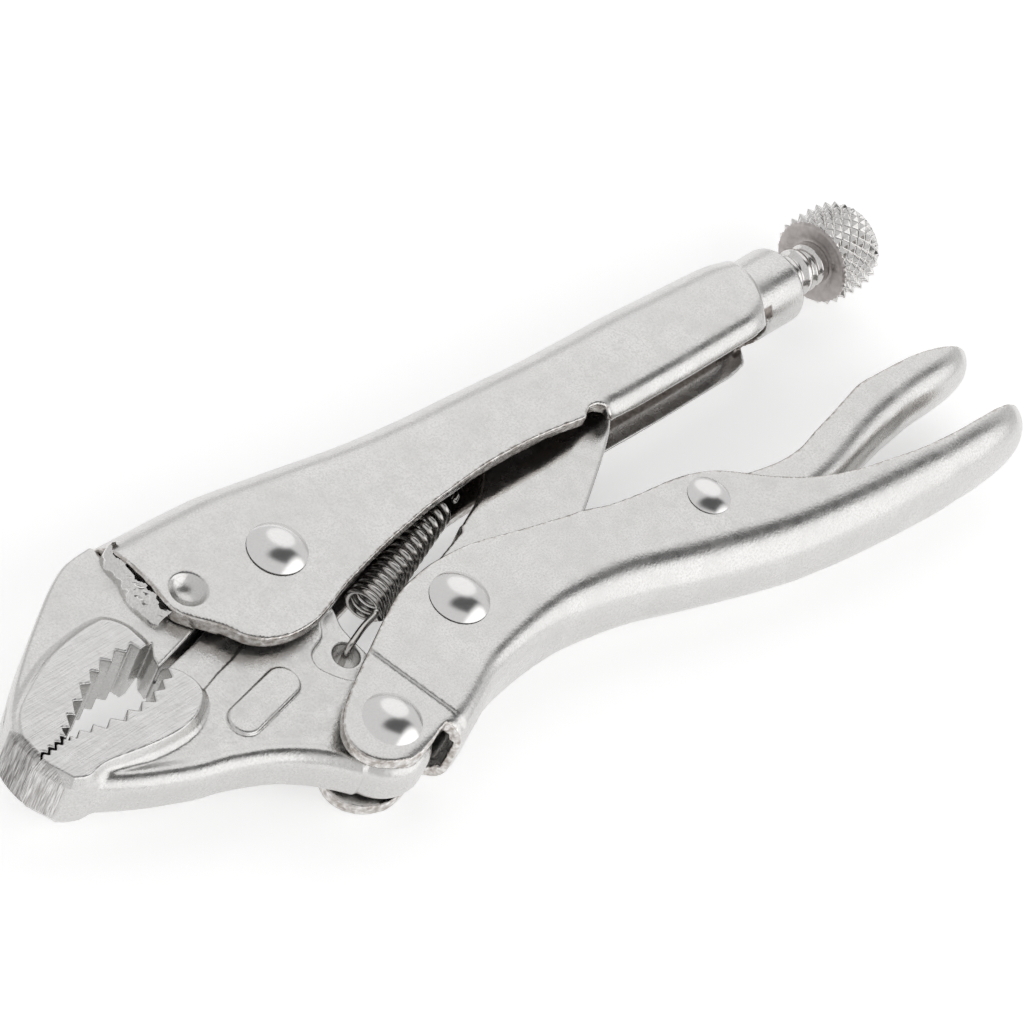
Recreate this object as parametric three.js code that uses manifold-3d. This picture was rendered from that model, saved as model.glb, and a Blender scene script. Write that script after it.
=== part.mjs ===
// Locking pliers, 180 mm class, lying on their side with the jaws closed and the toggle locked.
// Working frame: the jaw pivot is at x = y = 0, +X runs along the adjusting screw from the jaws to
// the knob, +Y points to the back of the fixed handle, and z = 0 is the tool's middle plane.
// The exported group is shifted so that the origin is under the middle of the whole tool.
import * as THREE from "three";
import { mergeVertices } from "three/addons/utils/BufferGeometryUtils.js";
import Module from "manifold-3d";

const wasm = await Module();
wasm.setup();

// ---- Driving dimensions, millimetres ----
const JAW_PIVOT = [0, 0];
const LEVER_PIVOT = [-5.4, -30.2];
const LINK_PIVOT = [17.6, -20.4];
const LINK_FOOT = [66, -1];
const RELEASE_PIVOT = [64.6, -27.4];
const SCREW_Y = -1.0;
const HANDLE_HALF = 6.9;
const HANDLE_SHEET = 2.5;
const LEVER_SHEET = 2.0;
const LEVER_HALF = 7.0;
const EAR_HALF = 6.2;
const JAW_HEAD_HALF = 5.4;
const JAW_BODY_HALF = 3.9;
const TANG_HALF = 4.0;
const WEB_HALF = 3.2;
const LINK_HALF = 2.6;
const GAP = 0.3;
const RIVET_HEAD_R = 4.5;
const RIVET_SHANK_R = 2.6;
const RELEASE_HEAD_R = 3.35;
const BARREL_R = 6.28;
const BARREL_END_X = 112.3;
const SCREW_R = 3.75;
const THREAD_PITCH = 2.5;
const THREAD_DEPTH = 0.85;
const SCREW_TIP_X = 72.0;
const KNOB_X = 121.3;
const KNOB_R = 7.3;
const KNOB_LENGTH = 10.2;
const SPRING_R = 2.65;
const SPRING_WIRE = 1.0;
const SPRING_LOW = [9.6, -11.4];
const SPRING_HIGH = [33.5, -3.9];
const SPRING_HOLE = [-1.2, -17.5];

// ---- Small geometry helpers ----
const vec = ([x, y]) => new THREE.Vector2(x, y);

function smooth(points, steps) {
  const curve = new THREE.SplineCurve(points.map(vec));
  return curve.getPoints(steps).map((p) => [p.x, p.y]);
}

function arc(centre, radius, fromDeg, toDeg, steps) {
  const made = [];
  for (let i = 0; i <= steps; i += 1) {
    const a = THREE.MathUtils.degToRad(fromDeg + ((toDeg - fromDeg) * i) / steps);
    made.push([centre[0] + radius * Math.cos(a), centre[1] + radius * Math.sin(a)]);
  }
  return made;
}

// Value of a smooth table at x: rows are [x, value].
function along(rows) {
  return (x) => {
    if (x <= rows[0][0]) return rows[0][1];
    for (let i = 1; i < rows.length; i += 1) {
      if (x <= rows[i][0]) {
        const t = (x - rows[i - 1][0]) / (rows[i][0] - rows[i - 1][0]);
        return THREE.MathUtils.lerp(rows[i - 1][1], rows[i][1], t);
      }
    }
    return rows[rows.length - 1][1];
  };
}

function solid(geometry) {
  const bare = geometry.index ? geometry.toNonIndexed() : geometry.clone();
  bare.deleteAttribute("normal");
  bare.deleteAttribute("uv");
  const merged = mergeVertices(bare, 1e-4);
  const made = new wasm.Manifold(
    new wasm.Mesh({
      numProp: 3,
      vertProperties: new Float32Array(merged.attributes.position.array),
      triVerts: new Uint32Array(merged.index.array),
    }),
  );
  return made;
}

function geometryOf(manifold) {
  const m = manifold.getMesh();
  const positions = new Float32Array(m.numVert * 3);
  for (let i = 0; i < m.numVert; i += 1) {
    positions.set(m.vertProperties.subarray(i * m.numProp, i * m.numProp + 3), i * 3);
  }
  const geometry = new THREE.BufferGeometry();
  geometry.setAttribute("position", new THREE.BufferAttribute(positions, 3));
  geometry.setIndex(new THREE.BufferAttribute(m.triVerts, 1));
  return geometry;
}

// A flat plate: an outline in the XY plane, from z0 to z1.
function plate(points, z0, z1) {
  const shape = new THREE.Shape(points.map(vec));
  const geometry = new THREE.ExtrudeGeometry(shape, { depth: z1 - z0, bevelEnabled: false });
  return solid(geometry.translate(0, 0, z0));
}

// A round bar along Z.
function barZ(centre, radius, z0, z1, sides = 24) {
  const geometry = new THREE.CylinderGeometry(radius, radius, z1 - z0, sides);
  geometry.rotateX(Math.PI / 2).translate(centre[0], centre[1], (z0 + z1) / 2);
  return solid(geometry);
}

// A round bar along X about the screw's axis.
function barX(radius, x0, x1, sides = 28) {
  const geometry = new THREE.CylinderGeometry(radius, radius, x1 - x0, sides);
  geometry.rotateZ(-Math.PI / 2).translate((x0 + x1) / 2, SCREW_Y, 0);
  return solid(geometry);
}

// A skin through rings of equal point counts, closed at both ends. ring(x) gives [y, z] pairs.
function loftX(stations, ring) {
  const rings = stations.map((x) => outwardRing(ring(x)).map(([y, z]) => [x, y, z]));
  const n = rings[0].length;
  const positions = [];
  const triangle = (a, b, c) => positions.push(...a, ...b, ...c);
  for (let s = 0; s + 1 < rings.length; s += 1) {
    for (let i = 0; i < n; i += 1) {
      const j = (i + 1) % n;
      triangle(rings[s][i], rings[s][j], rings[s + 1][j]);
      triangle(rings[s][i], rings[s + 1][j], rings[s + 1][i]);
    }
  }
  const first = rings[0];
  const last = rings[rings.length - 1];
  for (let i = 0; i < n; i += 1) {
    const j = (i + 1) % n;
    triangle(middle(first), first[j], first[i]);
    triangle(middle(last), last[i], last[j]);
  }
  const geometry = new THREE.BufferGeometry();
  geometry.setAttribute("position", new THREE.Float32BufferAttribute(positions, 3));
  return solid(geometry);
}

// The ring in the order that runs anticlockwise seen from +X.
function outwardRing(ring) {
  return THREE.ShapeUtils.area(ring.map(vec)) < 0 ? ring.slice().reverse() : ring;
}

function middle(ring) {
  return [0, 1, 2].map((k) => ring.reduce((sum, p) => sum + p[k], 0) / ring.length);
}

function stations(x0, x1, count) {
  return Array.from({ length: count + 1 }, (_, i) => x0 + ((x1 - x0) * i) / count);
}

// ---- Fixed handle: a folded channel, open towards the lever, closed to a barrel at the tail ----
const handleBack = along([
  [-22, 15.9], [-8, 15.5], [0, 14.9], [8, 13.8], [18, 11.7], [26, 10.7], [35, 9.8],
  [44, 9.3], [56, 8.6], [70, 8.0], [86, 7.5], [98, 7.0], [102, 6.4], [106, 5.4], [112.5, 5.28],
]);
const handleCurl = along([[-22, 0], [48, 0], [64, 1.9], [100, 2.4], [112, 2.4]]);
const handleWidth = along([[-22, HANDLE_HALF], [50, HANDLE_HALF], [70, 7.2], [97, 7.2], [104, 6.4]]);
const CHANNEL_FLOOR = -9;

// Half-section of the handle: flat walls, a rounded back, and edges that curl in at the tail.
function handleRing(x, inset) {
  const top = handleBack(x) - inset;
  const half = handleWidth(x) - inset;
  const round = 6.4 - inset;
  const shoulder = top - round;
  const low = inset > 0 ? -20 : -15;
  const side = [];
  for (let i = 0; i <= 6; i += 1) {
    const a = (Math.PI / 2) * (i / 6);
    side.push([shoulder + round * Math.sin(a) ** 0.9, half * Math.cos(a) ** 0.9]);
  }
  const wall = [];
  for (let i = 0; i <= 5; i += 1) {
    const y = THREE.MathUtils.lerp(CHANNEL_FLOOR, shoulder, i / 5);
    const depth = 1 - i / 5;
    wall.push([y, half - handleCurl(x) * depth * depth]);
  }
  const near = [[low, wall[0][1]], ...wall.slice(0, 5), ...side];
  const far = near.slice(0, -1).reverse().map(([y, z]) => [y, -z]);
  return [...near, ...far];
}

function handleOutline() {
  return [
    [-20.9, 17], [-20.7, 12.4], [-20.0, 6], [-19.9, 1.4],
    ...smooth([[-19.6, -0.6], [-18.4, -2.4], [-16.4, -4.9], [-14.2, -8.3]], 5),
    ...smooth([[-13.0, -9.8], [-11.2, -11.0], [-8.6, -12.0], [-5.9, -12.3], [-3.0, -12.1], [0, -11.4]], 10),
    ...smooth([[4.6, -9.8], [9.7, -8.6], [15.7, -7.5], [21, -6.7], [29.6, -5.6], [38.3, -5.0],
      [45.3, -5.1], [52.1, -5.8], [58.4, -6.7]], 12),
    [59.2, -5.9], [60.6, -5.5], [62.2, -5.9], [63.0, -7.6],
    ...smooth([[66.6, -8.3], [71.2, -8.8], [81.5, -9.0], [92, -8.9], [100, -8.9], [103.2, -8.0],
      [105.5, -6.6]], 9),
    [107, -5.2], [107, 17],
  ];
}

function fixedHandle() {
  const xs = [...stations(-21.5, 58, 18), ...stations(62, 98, 8), 100, 102, 104, 106, 108];
  const outer = loftX(xs, (x) => handleRing(x, 0)).intersect(plate(handleOutline(), -10, 10));
  const hollowXs = [-24, ...stations(-16, 58, 16), ...stations(62, 98, 8), 100.5];
  const hollow = loftX(hollowXs, (x) => handleRing(x, HANDLE_SHEET));
  const slotEnd = barZ([100.5, -8.6], 2.2, -3, 3);
  const barrel = barX(BARREL_R, 100, BARREL_END_X);
  const bore = barX(SCREW_R + GAP, 97, BARREL_END_X + 1);
  const rivetHole = barZ(JAW_PIVOT, RIVET_SHANK_R + GAP, -10, 10);
  const dimple = new THREE.SphereGeometry(3.2, 20, 12).translate(-15.4, 1.6, HANDLE_HALF + 2.3);
  return outer.subtract(hollow).add(barrel).subtract(bore).subtract(slotEnd)
    .subtract(rivetHole).subtract(solid(dimple));
}

// ---- Upper jaw: forged, its tang held in the channel ----
function zigzag(from, to, bulge, teeth, depth) {
  const made = [];
  const dx = to[0] - from[0];
  const dy = to[1] - from[1];
  const length = Math.hypot(dx, dy);
  const normal = [-dy / length, dx / length];
  for (let i = 0; i <= 2 * teeth; i += 1) {
    const t = i / (2 * teeth);
    const bow = bulge * 4 * t * (1 - t) + (i % 2 ? depth : 0);
    made.push([from[0] + dx * t + normal[0] * bow, from[1] + dy * t + normal[1] * bow]);
  }
  return made;
}

const FINE_FRONT = [-51.0, -8.2];
const FINE_REAR = [-46.2, -7.5];
const UPPER_MOUTH_REAR = [-26.6, -1.9];
const LOWER_MOUTH_REAR = [-27.9, -6.1];
const TIP_GAP = 0.15;

function upperTeeth() {
  const fine = zigzag([FINE_FRONT[0], FINE_FRONT[1] + TIP_GAP], [FINE_REAR[0], FINE_REAR[1] + TIP_GAP], 0, 5, 0.45);
  const coarse = zigzag([FINE_REAR[0], FINE_REAR[1] + TIP_GAP], UPPER_MOUTH_REAR, 2.4, 8, 1.2);
  return [...fine, ...coarse.slice(1)];
}

function lowerTeeth() {
  const fine = zigzag([FINE_FRONT[0], FINE_FRONT[1] - TIP_GAP], [FINE_REAR[0], FINE_REAR[1] - TIP_GAP], 0, 5, -0.45);
  const coarse = zigzag([FINE_REAR[0], FINE_REAR[1] - TIP_GAP], LOWER_MOUTH_REAR, -2.2, 7, -1.1);
  return [...fine, ...coarse.slice(1)];
}

function upperJaw() {
  const back = smooth([[-21.3, 15.6], [-24, 15.4], [-27.5, 14.2], [-32, 11.7], [-38, 7.9], [-44.0, 3.9],
    [-47.5, 1.4], [-49.6, -0.8], [-51.0, -3.2], [-51.5, -5.6], [-51.5, -7.2]], 18);
  const tang = [[-26.9, -5.15], [-18.4, -3.2], [-14, -1.9], [-10.4, -0.9],
    ...arc(JAW_PIVOT, 9.4, 183, 130, 6), [-6.4, 9.4], [-7.5, 10.2], [-21.1, 10.4]];
  const body = plate([...back, ...upperTeeth(), ...tang], -TANG_HALF, TANG_HALF);
  const headTop = smooth([[-26.4, 2.4], [-28.2, 4.4], [-32.9, 4.7], [-37.1, 4.1], [-40.7, 3.1],
    [-45.2, 1.1], [-48.6, -0.9], [-50.8, -3.9], [-51.3, -6.1], [-51.3, -7.5]], 14);
  const head = plate([...headTop, ...upperTeeth()], -JAW_HEAD_HALF, JAW_HEAD_HALF);
  return body.add(head);
}

// Weld between the channel's front edge and the jaw, one bead on each side.
function weldBead(side) {
  const points = [[-21.2, 12.6], [-22.6, 11.5], [-22.3, 9], [-23.2, 6.5], [-24.2, 3.6], [-24.6, 1.2],
    [-21.6, 1.6], [-20.4, 2.0], [-20.4, 6], [-21.1, 12.4]];
  const z0 = TANG_HALF + GAP;
  const bead = plate(points, z0, z0 + 1.7);
  return side > 0 ? bead : bead.mirror([0, 0, 1]);
}

// ---- Lower jaw: forged, with a rim, a raised ground head, a spring lug and a tang ----
function lowerJaw() {
  const front = [[-51.3, -8.6], [-49.6, -13.0]];
  const under = smooth([[-47.5, -14.6], [-43, -17.2], [-36.5, -20.1], [-30, -22.3], [-25, -24.0],
    [-20.5, -26.3], [-16.4, -29.4], [-13.2, -32.8]], 12);
  const boss = arc(LEVER_PIVOT, 7.1, 205, 350, 12);
  const lug = smooth([[2.0, -27.0], [2.6, -21.0], [2.3, -17.6], [1.7, -14.6], [1.0, -11.6]], 8);
  const hub = arc(JAW_PIVOT, 8.4, -30, 184, 14);
  const mouth = [[-9.3, -2.1], [-14, -2.9], [-18.8, -4.3], [-26.8, -5.75]];
  const outline = [...lowerTeeth().reverse().slice(0, -1), ...front, ...under, ...boss, ...lug, ...hub, ...mouth];
  const body = plate(outline, -JAW_BODY_HALF, JAW_BODY_HALF);
  const headLow = smooth([[-49.4, -12.8], [-47.2, -14.0], [-43.4, -13.8], [-36.9, -14.7], [-32.6, -15.1],
    [-29.6, -14.8], [-27.0, -13.9], [-25.1, -12.4], [-24.3, -10.6], [-24.9, -8.4], [-26.6, -6.6]], 14);
  const head = plate([...lowerTeeth().reverse().slice(0, -1), [-51.2, -8.6], ...headLow], -JAW_HEAD_HALF, JAW_HEAD_HALF);
  let jaw = body.add(head);
  const lugFace = [[-0.4, -10.6], [-3.0, -13.4], [-5.6, -14.8], [-6.0, -17.4], [-4.6, -19.4], [5, -22], [6, -10]];
  const neckFace = [[-24.4, -11.4], [-16.0, -9.4], [-13.2, -8.2], [-13, 0], [-24, -3], [-30, -6]];
  for (const side of [1, -1]) {
    const low = side > 0 ? WEB_HALF : -8;
    jaw = jaw.subtract(plate(lugFace, low, low + 8 - WEB_HALF));
    jaw = jaw.subtract(plate(neckFace, low, low + 8 - WEB_HALF));
  }
  const pad = [...arc([-21.6, -18.1], 2.0, 100, 280, 8), ...arc([-12.2, -15.9], 2.0, -80, 100, 8)];
  jaw = jaw.add(plate(pad, -JAW_BODY_HALF - 0.35, JAW_BODY_HALF + 0.35));
  return jaw.subtract(barZ(JAW_PIVOT, RIVET_SHANK_R + GAP, -9, 9))
    .subtract(barZ(LEVER_PIVOT, RIVET_SHANK_R + GAP, -9, 9))
    .subtract(barZ(SPRING_HOLE, 2.0, -9, 9, 20));
}

// ---- Lever: a channel open towards the fixed handle, with two ears at the front ----
const leverTop = along([
  [-2, -20.6], [5, -17.3], [11.2, -14.9], [15.8, -13.9], [20, -13.7], [26, -14.3], [34, -16.3],
  [42, -18.2], [50, -20.2], [58, -21.6], [65, -23.0], [69, -24.6], [73, -27.4], [77, -30.4],
  [81, -33.0], [86, -35.3], [92, -37.1], [98, -38.4], [104, -39.4], [110, -39.9], [117, -40.2],
  [123, -40.4],
]);
const leverBottom = along([
  [4.6, -36.9], [8.8, -35.2], [13, -33.3], [19, -32.0], [26, -31.5], [32.5, -31.7], [40, -33.1],
  [46, -34.5], [53.5, -37.2], [60, -39.3], [67, -41.3], [75, -43.2], [85, -44.7], [96, -45.8],
  [107, -46.6], [115, -46.8], [120, -46.6], [123.6, -45.8], [126.2, -44.4], [127.8, -42.4],
]);
const leverRound = along([[4, 2.4], [20, 3.2], [30, 4.6], [46, 6.6], [130, 6.8]]);
const leverHalf = along([
  [-1.4, EAR_HALF], [2.4, EAR_HALF], [4.2, LEVER_HALF], [60, LEVER_HALF], [75, 7.6], [95, 8.0],
  [109, 7.7], [115, 7.0], [119, 6.1], [122.4, 4.9], [125.4, 3.2], [127, 1.8], [128, 0.6],
]);

function channelRing(x, top, bottom, half, round, inset) {
  const r = Math.max(Math.min(round, half) - inset, 0.3);
  const w = Math.max(half - inset, 0.3);
  const low = bottom + inset;
  const near = [[top, w]];
  for (let i = 0; i <= 6; i += 1) {
    const a = (Math.PI / 2) * (i / 6);
    near.push([low + r - r * Math.sin(a), w - r + r * Math.cos(a)]);
  }
  const far = near.slice().reverse().map(([y, z]) => [y, -z]);
  return [...far, ...near].reverse();
}

function lever() {
  const xs = [4.6, ...stations(8, 122, 30), 124.6, 126.6, 127.9];
  const outer = loftX(xs, (x) => channelRing(x, -5, leverBottom(x), leverHalf(x), leverRound(x), 0));
  const hollowXs = [3, ...stations(8, 119, 29), 122.4, 125];
  const hollow = loftX(hollowXs, (x) => channelRing(x, 0, leverBottom(x), leverHalf(x), leverRound(x), LEVER_SHEET));
  const sideLine = stations(4.6, 123, 40).map((x) => [x, leverTop(x)]);
  const side = plate([...sideLine, [126, -40.5], [128.2, -41.0], [129, -50], [4.6, -50]], -12, 12);
  const channel = outer.intersect(side).subtract(hollow);
  const earPoints = [...arc(LEVER_PIVOT, 7.6, 128, 318, 16), [5.4, -33.4], [5.4, -17.3], [-1.2, -20.3]];
  const ears = plate(earPoints, -EAR_HALF, EAR_HALF)
    .subtract(plate([[-20, -45], [6, -45], [6, -10], [-20, -10]], LEVER_SHEET - EAR_HALF, EAR_HALF - LEVER_SHEET));
  let made = channel.add(ears);
  for (const [centre, r] of [[LEVER_PIVOT, RIVET_SHANK_R], [LINK_PIVOT, RIVET_SHANK_R], [RELEASE_PIVOT, 2.0]]) {
    made = made.subtract(barZ(centre, r + GAP, -12, 12));
  }
  return made;
}

// ---- Toggle link: a broad plate from the lever to the foot that the screw bears on ----
function toggleLink() {
  const hub = arc(LINK_PIVOT, 6.2, 100, 300, 12);
  const lower = smooth([[26, -24.0], [36, -22.6], [46, -19.4], [51.5, -16.4]], 6);
  const right = [[60.3, -10.9], [65.0, -7.4], [67.6, -4.2]];
  const foot = arc(LINK_FOOT, 2.3, -40, 150, 8);
  const upper = smooth([[60, 1.2], [52, 0.2], [44, -2.2], [38.4, -6.2], [31.0, -9.4]], 6);
  const notch = [[30.2, -9.6], [29.6, -10.3], [22.6, -12.3]];
  return plate([...hub, ...lower, ...right, ...foot, ...upper, ...notch], -LINK_HALF, LINK_HALF)
    .subtract(barZ(LINK_PIVOT, RIVET_SHANK_R + GAP, -9, 9));
}

// ---- Release lever: a narrow channel nested in the lever, with a thumb blade at its tail ----
const releaseTop = along([
  [57, -23.6], [62, -23.2], [67, -24.2], [72, -25.7], [77, -26.9], [82, -27.7], [87, -27.7], [92, -26.9],
  [97, -25.9], [102, -25.0], [106, -24.6], [111, -24.8], [117, -25.1], [122, -25.9], [126, -26.8],
]);
const releaseBottom = along([
  [57, -26.0], [60, -29.8], [66, -33.0], [74, -35.6], [82, -36.6], [90, -35.8], [97, -34.2], [104, -33.0],
  [111, -32.5], [118, -32.4], [122.6, -31.9], [126.6, -30.8], [129.6, -28.6],
]);
const releaseHalf = along([
  [57, 4.4], [72, 4.6], [80, 4.9], [95, 5.2], [112, 5.6], [118.5, 5.3], [123.6, 4.3], [127.4, 2.7], [129.8, 0.7],
]);
const releaseRound = along([[57, 2.2], [75, 4.4], [130, 5.2]]);

function releaseLever() {
  const xs = [...stations(57, 122, 22), 125.4, 127.8, 129.7];
  const outer = loftX(xs, (x) => channelRing(x, -15, releaseBottom(x), releaseHalf(x), releaseRound(x), 0));
  const hollowXs = [55, ...stations(60, 117, 18), 122, 126.2];
  const hollow = loftX(hollowXs, (x) => channelRing(x, -10, releaseBottom(x), releaseHalf(x), releaseRound(x), 1.6));
  const sideLine = stations(57, 126, 30).map((x) => [x, releaseTop(x)]);
  const side = plate([...sideLine, [130, -27.5], [130, -45], [57, -45]], -12, 12);
  return outer.intersect(side).subtract(hollow).subtract(barZ(RELEASE_PIVOT, 2.0 + GAP, -12, 12));
}

// ---- Rivets: a shank with a low domed head at each end ----
function rivet(centre, headRadius, shankRadius, seat, rise) {
  const profile = [new THREE.Vector2(0, -seat - rise)];
  const dome = (sign) => {
    const made = [];
    for (let i = 1; i <= 6; i += 1) {
      const a = (Math.PI / 2) * (i / 6);
      made.push(new THREE.Vector2(headRadius * Math.sin(a), sign * (seat + 0.35 + (rise - 0.35) * Math.cos(a))));
    }
    return made;
  };
  profile.push(...dome(-1), new THREE.Vector2(headRadius, -seat), new THREE.Vector2(shankRadius, -seat));
  profile.push(new THREE.Vector2(shankRadius, seat), new THREE.Vector2(headRadius, seat), ...dome(1).reverse());
  profile.push(new THREE.Vector2(0, seat + rise));
  const geometry = new THREE.LatheGeometry(profile, 24);
  return solid(geometry.rotateX(Math.PI / 2).translate(centre[0], centre[1], 0));
}

// ---- Adjusting screw and its knurled knob ----
function adjustingScrew() {
  const profile = [[0, SCREW_TIP_X], [2.4, SCREW_TIP_X], [3.1, SCREW_TIP_X + 1.2]];
  for (let x = SCREW_TIP_X + 2; x < KNOB_X - THREAD_PITCH; x += THREAD_PITCH) {
    profile.push([SCREW_R - THREAD_DEPTH, x], [SCREW_R, x + THREAD_PITCH / 2]);
  }
  profile.push([SCREW_R - THREAD_DEPTH, KNOB_X - 0.6], [SCREW_R - THREAD_DEPTH, KNOB_X + 6], [0, KNOB_X + 6]);
  const geometry = new THREE.LatheGeometry(profile.map(vec), 18);
  return solid(geometry.rotateZ(-Math.PI / 2).translate(0, SCREW_Y, 0));
}

function knob() {
  const profile = [[SCREW_R - THREAD_DEPTH + GAP, KNOB_X], [KNOB_R - 0.5, KNOB_X], [KNOB_R, KNOB_X + 0.6],
    [KNOB_R + 0.25, KNOB_X + KNOB_LENGTH / 2], [KNOB_R, KNOB_X + 0.8 * KNOB_LENGTH],
    [KNOB_R - 0.9, KNOB_X + 0.93 * KNOB_LENGTH], [KNOB_R - 2.1, KNOB_X + KNOB_LENGTH],
    [0, KNOB_X + KNOB_LENGTH], [0, KNOB_X + 6 + GAP],
    [SCREW_R - THREAD_DEPTH + GAP, KNOB_X + 6 + GAP], [SCREW_R - THREAD_DEPTH + GAP, KNOB_X]];
  const geometry = new THREE.LatheGeometry(profile.map(vec), 36);
  return solid(geometry.rotateZ(-Math.PI / 2).translate(0, SCREW_Y, 0));
}

// ---- Tension spring: the coil's envelope as an open tube, with its straight wire leg ----
function wire(from, to, radius) {
  const a = new THREE.Vector3(...from);
  const b = new THREE.Vector3(...to);
  const geometry = new THREE.CylinderGeometry(radius, radius, a.distanceTo(b), 8);
  const turn = new THREE.Quaternion().setFromUnitVectors(new THREE.Vector3(0, 1, 0), b.clone().sub(a).normalize());
  geometry.applyQuaternion(turn).translate(...a.add(b).multiplyScalar(0.5).toArray());
  return solid(geometry);
}

function tensionSpring() {
  const dx = SPRING_HIGH[0] - SPRING_LOW[0];
  const dy = SPRING_HIGH[1] - SPRING_LOW[1];
  const length = Math.hypot(dx, dy);
  const inner = SPRING_R - SPRING_WIRE;
  const profile = [[inner, 0], [SPRING_R, 0], [SPRING_R, length], [inner, length], [inner, 0]];
  const geometry = new THREE.LatheGeometry(profile.map(vec), 16);
  geometry.rotateZ(Math.atan2(dy, dx) - Math.PI / 2).translate(SPRING_LOW[0], SPRING_LOW[1], 0);
  const radius = SPRING_WIRE / 2;
  const besideLug = WEB_HALF + GAP + radius;
  const start = [SPRING_LOW[0] + 0.7, SPRING_LOW[1] - 1.7, 0.6];
  const middle = [4.2, -15.1, besideLug];
  const bend = [SPRING_HOLE[0] + 0.7, SPRING_HOLE[1] + 0.5, besideLug];
  const end = [SPRING_HOLE[0] + 0.3, SPRING_HOLE[1] + 0.2, 0];
  return solid(geometry).add(wire(start, middle, radius)).add(wire(middle, bend, radius))
    .add(wire(bend, end, radius));
}

// ---- Assembly ----
const PEARL_NICKEL = { color: 0xc9c7c4, roughness: 0.42, metalness: 0.9 };
const GROUND_STEEL = { color: 0xb9b7b5, roughness: 0.38, metalness: 0.9 };
const POLISHED = { color: 0xdcdad6, roughness: 0.12, metalness: 1.0 };
const SPRING_STEEL = { color: 0x4b4743, roughness: 0.25, metalness: 1.0 };

const tool = new THREE.Group();

function addPiece(name, manifold, finish) {
  const mesh = new THREE.Mesh(geometryOf(manifold), new THREE.MeshStandardMaterial(finish));
  mesh.name = name;
  tool.add(mesh);
}

addPiece("fixed_handle", fixedHandle(), PEARL_NICKEL);
addPiece("upper_jaw", upperJaw(), PEARL_NICKEL);
addPiece("weld_bead_near", weldBead(1), PEARL_NICKEL);
addPiece("weld_bead_far", weldBead(-1), PEARL_NICKEL);
addPiece("jaw_pivot_rivet", rivet(JAW_PIVOT, RIVET_HEAD_R, RIVET_SHANK_R, HANDLE_HALF + GAP, 1.7), POLISHED);
addPiece("lower_jaw", lowerJaw(), GROUND_STEEL);
addPiece("lever_pivot_rivet", rivet(LEVER_PIVOT, RIVET_HEAD_R, RIVET_SHANK_R, EAR_HALF + GAP, 1.7), POLISHED);
addPiece("lever", lever(), PEARL_NICKEL);
addPiece("link_pivot_rivet", rivet(LINK_PIVOT, RIVET_HEAD_R, RIVET_SHANK_R, LEVER_HALF + GAP, 1.6), POLISHED);
addPiece("toggle_link", toggleLink(), PEARL_NICKEL);
addPiece("release_lever", releaseLever(), PEARL_NICKEL);
addPiece("release_rivet", rivet(RELEASE_PIVOT, RELEASE_HEAD_R, 2.0, leverHalf(RELEASE_PIVOT[0]) + GAP, 1.0), POLISHED);
addPiece("adjusting_screw", adjustingScrew(), POLISHED);
addPiece("knurled_knob", knob(), POLISHED);
addPiece("tension_spring", tensionSpring(), SPRING_STEEL);

// The origin goes under the middle of the tool's bounding box.
const bounds = new THREE.Box3().setFromObject(tool);
const centre = bounds.getCenter(new THREE.Vector3());
tool.position.set(-centre.x, -centre.y, -bounds.min.z);

const root = new THREE.Group();
root.add(tool);

export default root;
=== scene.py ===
# Locking pliers: detailed skins, wire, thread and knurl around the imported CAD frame.
# Shapes are written in tool millimetres: the jaw pivot is at x = y = 0 on the middle plane z = 0,
# +X runs along the adjusting screw to the knob and +Y points to the back of the fixed handle.
import math

import bpy
import numpy as np
from mathutils import Matrix, Vector


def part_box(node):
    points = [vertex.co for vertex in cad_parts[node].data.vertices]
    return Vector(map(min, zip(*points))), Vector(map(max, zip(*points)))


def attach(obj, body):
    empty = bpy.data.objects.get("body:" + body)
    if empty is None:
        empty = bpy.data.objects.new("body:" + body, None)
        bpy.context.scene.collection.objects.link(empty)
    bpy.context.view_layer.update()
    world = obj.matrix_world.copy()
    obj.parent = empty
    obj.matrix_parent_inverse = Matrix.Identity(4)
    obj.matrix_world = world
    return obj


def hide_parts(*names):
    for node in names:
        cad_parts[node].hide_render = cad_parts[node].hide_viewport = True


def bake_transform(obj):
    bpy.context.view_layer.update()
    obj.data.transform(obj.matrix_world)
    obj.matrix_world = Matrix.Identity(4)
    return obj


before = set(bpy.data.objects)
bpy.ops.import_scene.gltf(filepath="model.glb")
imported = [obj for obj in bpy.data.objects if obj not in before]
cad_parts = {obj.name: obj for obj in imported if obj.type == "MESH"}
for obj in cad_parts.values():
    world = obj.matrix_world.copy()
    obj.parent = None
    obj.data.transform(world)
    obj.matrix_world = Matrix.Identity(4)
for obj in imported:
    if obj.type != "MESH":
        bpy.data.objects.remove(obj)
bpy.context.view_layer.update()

MM = 0.001  # metres
low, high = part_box("jaw_pivot_rivet")
ORIGIN = (low + high) * 500.0  # the jaw pivot in the frame: half the sum of the corners, in millimetres


def to_frame(points):
    """Tool millimetres as metres in the shared frame."""
    return (np.asarray(points, float) + np.array(ORIGIN)) * MM



# ---------------------------------------------------------------- profiles and outlines


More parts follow.
